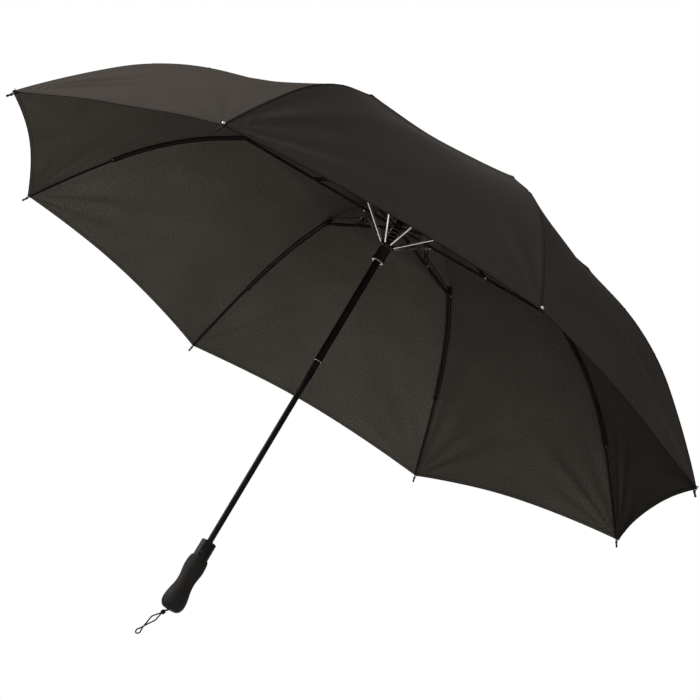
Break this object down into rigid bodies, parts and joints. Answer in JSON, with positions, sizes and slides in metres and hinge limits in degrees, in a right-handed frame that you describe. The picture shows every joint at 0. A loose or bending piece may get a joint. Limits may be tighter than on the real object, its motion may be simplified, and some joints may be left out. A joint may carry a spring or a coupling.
{
  "type": "golf umbrella",
  "caption": "Open two-fold golf umbrella with a domed panelled canopy, folding ribs on a sliding runner, a telescopic shaft, and a foam grip with a wrist strap.",
  "frame": {"origin": "middle of the grip, on the shaft's axis", "axes": "+Z along the shaft towards the ferrule; rib 1 lies along +X"},
  "size_m": [1.2738, 1.2738, 0.8923],
  "materials": {
    "grip_foam": "fine matt foam",
    "handle_plastic": "satin",
    "button_plastic": "satin",
    "strap_cord": "woven cord",
    "lower_tube_paint": "satin black",
    "upper_tube_paint": "gloss black",
    "notch_plastic": "satin",
    "ferrule_plastic": "satin",
    "hub_plastic": "satin",
    "runner_plastic": "satin",
    "spring_steel": "blackened",
    "canopy_fabric": "fine plain weave with a slight sheen",
    "rib_steel": "gloss black",
    "rod_fibreglass": "satin",
    "rib_wire": "gloss black",
    "strut_steel": "bright zinc"
  },
  "bodies": {
    "handle": {"grip": "grip_foam", "handle_core": "handle_plastic", "wrist_strap": "strap_cord", "lower_tube": "lower_tube_paint"},
    "release_button": {"button": "button_plastic"},
    "upper_shaft": {"upper_tube": "upper_tube_paint", "notch": "notch_plastic", "ferrule": "ferrule_plastic", "canopy": "canopy_fabric"},
    "runner_body": {"runner": "runner_plastic", "runner_spring": "spring_steel"},
    "hub_body": {"stretcher_hub": "hub_plastic"},
    "top_rib_body_1": {"top_rib_1": "rib_steel"},
    "stretcher_body_1": {"stretcher_1": "rib_steel"},
    "outer_rib_body_1": {"outer_rib_1": "rib_steel"},
    "rib_rod_body_1": {"rib_rod_1": "rod_fibreglass"},
    "tie_rod_body_1": {"tie_rod_1": "rib_wire"},
    "strut_body_1": {"strut_1": "strut_steel"},
    "top_rib_body_2": {"top_rib_2": "rib_steel"},
    "stretcher_body_2": {"stretcher_2": "rib_steel"},
    "outer_rib_body_2": {"outer_rib_2": "rib_steel"},
    "rib_rod_body_2": {"rib_rod_2": "rod_fibreglass"},
    "tie_rod_body_2": {"tie_rod_2": "rib_wire"},
    "strut_body_2": {"strut_2": "strut_steel"},
    "top_rib_body_3": {"top_rib_3": "rib_steel"},
    "stretcher_body_3": {"stretcher_3": "rib_steel"},
    "outer_rib_body_3": {"outer_rib_3": "rib_steel"},
    "rib_rod_body_3": {"rib_rod_3": "rod_fibreglass"},
    "tie_rod_body_3": {"tie_rod_3": "rib_wire"},
    "strut_body_3": {"strut_3": "strut_steel"},
    "top_rib_body_4": {"top_rib_4": "rib_steel"},
    "stretcher_body_4": {"stretcher_4": "rib_steel"},
    "outer_rib_body_4": {"outer_rib_4": "rib_steel"},
    "rib_rod_body_4": {"rib_rod_4": "rod_fibreglass"},
    "tie_rod_body_4": {"tie_rod_4": "rib_wire"},
    "strut_body_4": {"strut_4": "strut_steel"},
    "top_rib_body_5": {"top_rib_5": "rib_steel"},
    "stretcher_body_5": {"stretcher_5": "rib_steel"},
    "outer_rib_body_5": {"outer_rib_5": "rib_steel"},
    "rib_rod_body_5": {"rib_rod_5": "rod_fibreglass"},
    "tie_rod_body_5": {"tie_rod_5": "rib_wire"},
    "strut_body_5": {"strut_5": "strut_steel"},
    "top_rib_body_6": {"top_rib_6": "rib_steel"},
    "stretcher_body_6": {"stretcher_6": "rib_steel"},
    "outer_rib_body_6": {"outer_rib_6": "rib_steel"},
    "rib_rod_body_6": {"rib_rod_6": "rod_fibreglass"},
    "tie_rod_body_6": {"tie_rod_6": "rib_wire"},
    "strut_body_6": {"strut_6": "strut_steel"},
    "top_rib_body_7": {"top_rib_7": "rib_steel"},
    "stretcher_body_7": {"stretcher_7": "rib_steel"},
    "outer_rib_body_7": {"outer_rib_7": "rib_steel"},
    "rib_rod_body_7": {"rib_rod_7": "rod_fibreglass"},
    "tie_rod_body_7": {"tie_rod_7": "rib_wire"},
    "strut_body_7": {"strut_7": "strut_steel"},
    "top_rib_body_8": {"top_rib_8": "rib_steel"},
    "stretcher_body_8": {"stretcher_8": "rib_steel"},
    "outer_rib_body_8": {"outer_rib_8": "rib_steel"},
    "rib_rod_body_8": {"rib_rod_8": "rod_fibreglass"},
    "tie_rod_body_8": {"tie_rod_8": "rib_wire"},
    "strut_body_8": {"strut_8": "strut_steel"}
  },
  "joints": [
    {"name": "button_press", "type": "slide", "parent": "handle", "child": "release_button", "axis": [0.342, 0.9397, 0], "range_m": [0, 0.002], "stiffness_N_per_m": 600, "springref_m": -0.001},
    {"name": "shaft_telescope", "type": "slide", "parent": "handle", "child": "upper_shaft", "axis": [0, 0, -1], "range_m": [0, 0.29]},
    {"name": "runner_slide", "type": "slide", "parent": "upper_shaft", "child": "runner_body", "axis": [0, 0, -1], "range_m": [0, 0.2364], "stiffness_N_per_m": 60, "springref_m": -0.12, "deforming": ["canopy"]},
    {"name": "hub_slide", "type": "slide", "parent": "runner_body", "child": "hub_body", "axis": [0, 0, -1], "range_m": [0, 0.0253], "deforming": ["runner_spring"]},
    {"name": "top_rib_pivot_1", "type": "hinge", "parent": "upper_shaft", "child": "top_rib_body_1", "pos_m": [0.0105, 0, 0.755], "axis": [0, 1, 0], "range_deg": [0, 66.72]},
    {"name": "stretcher_pivot_1", "type": "hinge", "parent": "hub_body", "child": "stretcher_body_1", "pos_m": [0.0085, 0, 0.67], "axis": [0, -1, 0], "range_deg": [0, 78.21]},
    {"name": "elbow_pivot_1", "type": "hinge", "parent": "stretcher_body_1", "child": "outer_rib_body_1", "pos_m": [0.33, 0, 0.715], "axis": [0, 1, 0], "range_deg": [0, 127.71]},
    {"name": "rod_flex_1", "type": "hinge", "parent": "outer_rib_body_1", "child": "rib_rod_body_1", "pos_m": [0.525, 0, 0.587], "axis": [0, -1, 0], "range_deg": [0, 3.01]},
    {"name": "tie_rod_pivot_1", "type": "hinge", "parent": "outer_rib_body_1", "child": "tie_rod_body_1", "pos_m": [0.31489, 0, 0.72163], "axis": [0, -1, 0], "range_deg": [0, 133.12]},
    {"name": "strut_pivot_1", "type": "hinge", "parent": "stretcher_body_1", "child": "strut_body_1", "pos_m": [0.06636, 0, 0.67507], "axis": [0, 1, 0], "range_deg": [0, 27.46]},
    {"name": "top_rib_pivot_2", "type": "hinge", "parent": "upper_shaft", "child": "top_rib_body_2", "pos_m": [0.00742, 0.00742, 0.755], "axis": [-0.7071, 0.7071, 0], "range_deg": [0, 66.72]},
    {"name": "stretcher_pivot_2", "type": "hinge", "parent": "hub_body", "child": "stretcher_body_2", "pos_m": [0.00601, 0.00601, 0.67], "axis": [0.7071, -0.7071, 0], "range_deg": [0, 78.21]},
    {"name": "elbow_pivot_2", "type": "hinge", "parent": "stretcher_body_2", "child": "outer_rib_body_2", "pos_m": [0.23335, 0.23335, 0.715], "axis": [-0.7071, 0.7071, 0], "range_deg": [0, 127.71]},
    {"name": "rod_flex_2", "type": "hinge", "parent": "outer_rib_body_2", "child": "rib_rod_body_2", "pos_m": [0.37123, 0.37123, 0.587], "axis": [0.7071, -0.7071, 0], "range_deg": [0, 3.01]},
    {"name": "tie_rod_pivot_2", "type": "hinge", "parent": "outer_rib_body_2", "child": "tie_rod_body_2", "pos_m": [0.22266, 0.22266, 0.72163], "axis": [0.7071, -0.7071, 0], "range_deg": [0, 133.12]},
    {"name": "strut_pivot_2", "type": "hinge", "parent": "stretcher_body_2", "child": "strut_body_2", "pos_m": [0.04692, 0.04692, 0.67507], "axis": [-0.7071, 0.7071, 0], "range_deg": [0, 27.46]},
    {"name": "top_rib_pivot_3", "type": "hinge", "parent": "upper_shaft", "child": "top_rib_body_3", "pos_m": [0, 0.0105, 0.755], "axis": [-1, 0, 0], "range_deg": [0, 66.72]},
    {"name": "stretcher_pivot_3", "type": "hinge", "parent": "hub_body", "child": "stretcher_body_3", "pos_m": [0, 0.0085, 0.67], "axis": [1, 0, 0], "range_deg": [0, 78.21]},
    {"name": "elbow_pivot_3", "type": "hinge", "parent": "stretcher_body_3", "child": "outer_rib_body_3", "pos_m": [0, 0.33, 0.715], "axis": [-1, 0, 0], "range_deg": [0, 127.71]},
    {"name": "rod_flex_3", "type": "hinge", "parent": "outer_rib_body_3", "child": "rib_rod_body_3", "pos_m": [0, 0.525, 0.587], "axis": [1, 0, 0], "range_deg": [0, 3.01]},
    {"name": "tie_rod_pivot_3", "type": "hinge", "parent": "outer_rib_body_3", "child": "tie_rod_body_3", "pos_m": [0, 0.31489, 0.72163], "axis": [1, 0, 0], "range_deg": [0, 133.12]},
    {"name": "strut_pivot_3", "type": "hinge", "parent": "stretcher_body_3", "child": "strut_body_3", "pos_m": [0, 0.06636, 0.67507], "axis": [-1, 0, 0], "range_deg": [0, 27.46]},
    {"name": "top_rib_pivot_4", "type": "hinge", "parent": "upper_shaft", "child": "top_rib_body_4", "pos_m": [-0.00742, 0.00742, 0.755], "axis": [-0.7071, -0.7071, 0], "range_deg": [0, 66.72]},
    {"name": "stretcher_pivot_4", "type": "hinge", "parent": "hub_body", "child": "stretcher_body_4", "pos_m": [-0.00601, 0.00601, 0.67], "axis": [0.7071, 0.7071, 0], "range_deg": [0, 78.21]},
    {"name": "elbow_pivot_4", "type": "hinge", "parent": "stretcher_body_4", "child": "outer_rib_body_4", "pos_m": [-0.23335, 0.23335, 0.715], "axis": [-0.7071, -0.7071, 0], "range_deg": [0, 127.71]},
    {"name": "rod_flex_4", "type": "hinge", "parent": "outer_rib_body_4", "child": "rib_rod_body_4", "pos_m": [-0.37123, 0.37123, 0.587], "axis": [0.7071, 0.7071, 0], "range_deg": [0, 3.01]},
    {"name": "tie_rod_pivot_4", "type": "hinge", "parent": "outer_rib_body_4", "child": "tie_rod_body_4", "pos_m": [-0.22266, 0.22266, 0.72163], "axis": [0.7071, 0.7071, 0], "range_deg": [0, 133.12]},
    {"name": "strut_pivot_4", "type": "hinge", "parent": "stretcher_body_4", "child": "strut_body_4", "pos_m": [-0.04692, 0.04692, 0.67507], "axis": [-0.7071, -0.7071, 0], "range_deg": [0, 27.46]},
    {"name": "top_rib_pivot_5", "type": "hinge", "parent": "upper_shaft", "child": "top_rib_body_5", "pos_m": [-0.0105, 0, 0.755], "axis": [0, -1, 0], "range_deg": [0, 66.72]},
    {"name": "stretcher_pivot_5", "type": "hinge", "parent": "hub_body", "child": "stretcher_body_5", "pos_m": [-0.0085, 0, 0.67], "axis": [0, 1, 0], "range_deg": [0, 78.21]},
    {"name": "elbow_pivot_5", "type": "hinge", "parent": "stretcher_body_5", "child": "outer_rib_body_5", "pos_m": [-0.33, 0, 0.715], "axis": [0, -1, 0], "range_deg": [0, 127.71]},
    {"name": "rod_flex_5", "type": "hinge", "parent": "outer_rib_body_5", "child": "rib_rod_body_5", "pos_m": [-0.525, 0, 0.587], "axis": [0, 1, 0], "range_deg": [0, 3.01]},
    {"name": "tie_rod_pivot_5", "type": "hinge", "parent": "outer_rib_body_5", "child": "tie_rod_body_5", "pos_m": [-0.31489, 0, 0.72163], "axis": [0, 1, 0], "range_deg": [0, 133.12]},
    {"name": "strut_pivot_5", "type": "hinge", "parent": "stretcher_body_5", "child": "strut_body_5", "pos_m": [-0.06636, 0, 0.67507], "axis": [0, -1, 0], "range_deg": [0, 27.46]},
    {"name": "top_rib_pivot_6", "type": "hinge", "parent": "upper_shaft", "child": "top_rib_body_6", "pos_m": [-0.00742, -0.00742, 0.755], "axis": [0.7071, -0.7071, 0], "range_deg": [0, 66.72]},
    {"name": "stretcher_pivot_6", "type": "hinge", "parent": "hub_body", "child": "stretcher_body_6", "pos_m": [-0.00601, -0.00601, 0.67], "axis": [-0.7071, 0.7071, 0], "range_deg": [0, 78.21]},
    {"name": "elbow_pivot_6", "type": "hinge", "parent": "stretcher_body_6", "child": "outer_rib_body_6", "pos_m": [-0.23335, -0.23335, 0.715], "axis": [0.7071, -0.7071, 0], "range_deg": [0, 127.71]},
    {"name": "rod_flex_6", "type": "hinge", "parent": "outer_rib_body_6", "child": "rib_rod_body_6", "pos_m": [-0.37123, -0.37123, 0.587], "axis": [-0.7071, 0.7071, 0], "range_deg": [0, 3.01]},
    {"name": "tie_rod_pivot_6", "type": "hinge", "parent": "outer_rib_body_6", "child": "tie_rod_body_6", "pos_m": [-0.22266, -0.22266, 0.72163], "axis": [-0.7071, 0.7071, 0], "range_deg": [0, 133.12]},
    {"name": "strut_pivot_6", "type": "hinge", "parent": "stretcher_body_6", "child": "strut_body_6", "pos_m": [-0.04692, -0.04692, 0.67507], "axis": [0.7071, -0.7071, 0], "range_deg": [0, 27.46]},
    {"name": "top_rib_pivot_7", "type": "hinge", "parent": "upper_shaft", "child": "top_rib_body_7", "pos_m": [0, -0.0105, 0.755], "axis": [1, 0, 0], "range_deg": [0, 66.72]},
    {"name": "stretcher_pivot_7", "type": "hinge", "parent": "hub_body", "child": "stretcher_body_7", "pos_m": [0, -0.0085, 0.67], "axis": [-1, 0, 0], "range_deg": [0, 78.21]},
    {"name": "elbow_pivot_7", "type": "hinge", "parent": "stretcher_body_7", "child": "outer_rib_body_7", "pos_m": [0, -0.33, 0.715], "axis": [1, 0, 0], "range_deg": [0, 127.71]},
    {"name": "rod_flex_7", "type": "hinge", "parent": "outer_rib_body_7", "child": "rib_rod_body_7", "pos_m": [0, -0.525, 0.587], "axis": [-1, 0, 0], "range_deg": [0, 3.01]},
    {"name": "tie_rod_pivot_7", "type": "hinge", "parent": "outer_rib_body_7", "child": "tie_rod_body_7", "pos_m": [0, -0.31489, 0.72163], "axis": [-1, 0, 0], "range_deg": [0, 133.12]},
    {"name": "strut_pivot_7", "type": "hinge", "parent": "stretcher_body_7", "child": "strut_body_7", "pos_m": [0, -0.06636, 0.67507], "axis": [1, 0, 0], "range_deg": [0, 27.46]},
    {"name": "top_rib_pivot_8", "type": "hinge", "parent": "upper_shaft", "child": "top_rib_body_8", "pos_m": [0.00742, -0.00742, 0.755], "axis": [0.7071, 0.7071, 0], "range_deg": [0, 66.72]},
    {"name": "stretcher_pivot_8", "type": "hinge", "parent": "hub_body", "child": "stretcher_body_8", "pos_m": [0.00601, -0.00601, 0.67], "axis": [-0.7071, -0.7071, 0], "range_deg": [0, 78.21]},
    {"name": "elbow_pivot_8", "type": "hinge", "parent": "stretcher_body_8", "child": "outer_rib_body_8", "pos_m": [0.23335, -0.23335, 0.715], "axis": [0.7071, 0.7071, 0], "range_deg": [0, 127.71]},
    {"name": "rod_flex_8", "type": "hinge", "parent": "outer_rib_body_8", "child": "rib_rod_body_8", "pos_m": [0.37123, -0.37123, 0.587], "axis": [-0.7071, -0.7071, 0], "range_deg": [0, 3.01]},
    {"name": "tie_rod_pivot_8", "type": "hinge", "parent": "outer_rib_body_8", "child": "tie_rod_body_8", "pos_m": [0.22266, -0.22266, 0.72163], "axis": [-0.7071, -0.7071, 0], "range_deg": [0, 133.12]},
    {"name": "strut_pivot_8", "type": "hinge", "parent": "stretcher_body_8", "child": "strut_body_8", "pos_m": [0.04692, -0.04692, 0.67507], "axis": [0.7071, 0.7071, 0], "range_deg": [0, 27.46]}
  ],
  "couplings": [
    {"joint": "hub_slide", "follows": "runner_slide", "ratio": 0.10667},
    {"joint": "top_rib_pivot_1", "follows": "runner_slide", "rad_per_m": 4.9248},
    {"joint": "stretcher_pivot_1", "follows": "runner_slide", "rad_per_m": 5.7732},
    {"joint": "elbow_pivot_1", "follows": "runner_slide", "rad_per_m": 9.4278},
    {"joint": "rod_flex_1", "follows": "runner_slide", "rad_per_m": 0.2214},
    {"joint": "tie_rod_pivot_1", "follows": "runner_slide", "rad_per_m": 9.8268},
    {"joint": "strut_pivot_1", "follows": "runner_slide", "rad_per_m": 2.0266},
    {"joint": "top_rib_pivot_2", "follows": "runner_slide", "rad_per_m": 4.9248},
    {"joint": "stretcher_pivot_2", "follows": "runner_slide", "rad_per_m": 5.7732},
    {"joint": "elbow_pivot_2", "follows": "runner_slide", "rad_per_m": 9.4278},
    {"joint": "rod_flex_2", "follows": "runner_slide", "rad_per_m": 0.2214},
    {"joint": "tie_rod_pivot_2", "follows": "runner_slide", "rad_per_m": 9.8268},
    {"joint": "strut_pivot_2", "follows": "runner_slide", "rad_per_m": 2.0266},
    {"joint": "top_rib_pivot_3", "follows": "runner_slide", "rad_per_m": 4.9248},
    {"joint": "stretcher_pivot_3", "follows": "runner_slide", "rad_per_m": 5.7732},
    {"joint": "elbow_pivot_3", "follows": "runner_slide", "rad_per_m": 9.4278},
    {"joint": "rod_flex_3", "follows": "runner_slide", "rad_per_m": 0.2214},
    {"joint": "tie_rod_pivot_3", "follows": "runner_slide", "rad_per_m": 9.8268},
    {"joint": "strut_pivot_3", "follows": "runner_slide", "rad_per_m": 2.0266},
    {"joint": "top_rib_pivot_4", "follows": "runner_slide", "rad_per_m": 4.9248},
    {"joint": "stretcher_pivot_4", "follows": "runner_slide", "rad_per_m": 5.7732},
    {"joint": "elbow_pivot_4", "follows": "runner_slide", "rad_per_m": 9.4278},
    {"joint": "rod_flex_4", "follows": "runner_slide", "rad_per_m": 0.2214},
    {"joint": "tie_rod_pivot_4", "follows": "runner_slide", "rad_per_m": 9.8268},
    {"joint": "strut_pivot_4", "follows": "runner_slide", "rad_per_m": 2.0266},
    {"joint": "top_rib_pivot_5", "follows": "runner_slide", "rad_per_m": 4.9248},
    {"joint": "stretcher_pivot_5", "follows": "runner_slide", "rad_per_m": 5.7732},
    {"joint": "elbow_pivot_5", "follows": "runner_slide", "rad_per_m": 9.4278},
    {"joint": "rod_flex_5", "follows": "runner_slide", "rad_per_m": 0.2214},
    {"joint": "tie_rod_pivot_5", "follows": "runner_slide", "rad_per_m": 9.8268},
    {"joint": "strut_pivot_5", "follows": "runner_slide", "rad_per_m": 2.0266},
    {"joint": "top_rib_pivot_6", "follows": "runner_slide", "rad_per_m": 4.9248},
    {"joint": "stretcher_pivot_6", "follows": "runner_slide", "rad_per_m": 5.7732},
    {"joint": "elbow_pivot_6", "follows": "runner_slide", "rad_per_m": 9.4278},
    {"joint": "rod_flex_6", "follows": "runner_slide", "rad_per_m": 0.2214},
    {"joint": "tie_rod_pivot_6", "follows": "runner_slide", "rad_per_m": 9.8268},
    {"joint": "strut_pivot_6", "follows": "runner_slide", "rad_per_m": 2.0266},
    {"joint": "top_rib_pivot_7", "follows": "runner_slide", "rad_per_m": 4.9248},
    {"joint": "stretcher_pivot_7", "follows": "runner_slide", "rad_per_m": 5.7732},
    {"joint": "elbow_pivot_7", "follows": "runner_slide", "rad_per_m": 9.4278},
    {"joint": "rod_flex_7", "follows": "runner_slide", "rad_per_m": 0.2214},
    {"joint": "tie_rod_pivot_7", "follows": "runner_slide", "rad_per_m": 9.8268},
    {"joint": "strut_pivot_7", "follows": "runner_slide", "rad_per_m": 2.0266},
    {"joint": "top_rib_pivot_8", "follows": "runner_slide", "rad_per_m": 4.9248},
    {"joint": "stretcher_pivot_8", "follows": "runner_slide", "rad_per_m": 5.7732},
    {"joint": "elbow_pivot_8", "follows": "runner_slide", "rad_per_m": 9.4278},
    {"joint": "rod_flex_8", "follows": "runner_slide", "rad_per_m": 0.2214},
    {"joint": "tie_rod_pivot_8", "follows": "runner_slide", "rad_per_m": 9.8268},
    {"joint": "strut_pivot_8", "follows": "runner_slide", "rad_per_m": 2.0266}
  ]
}
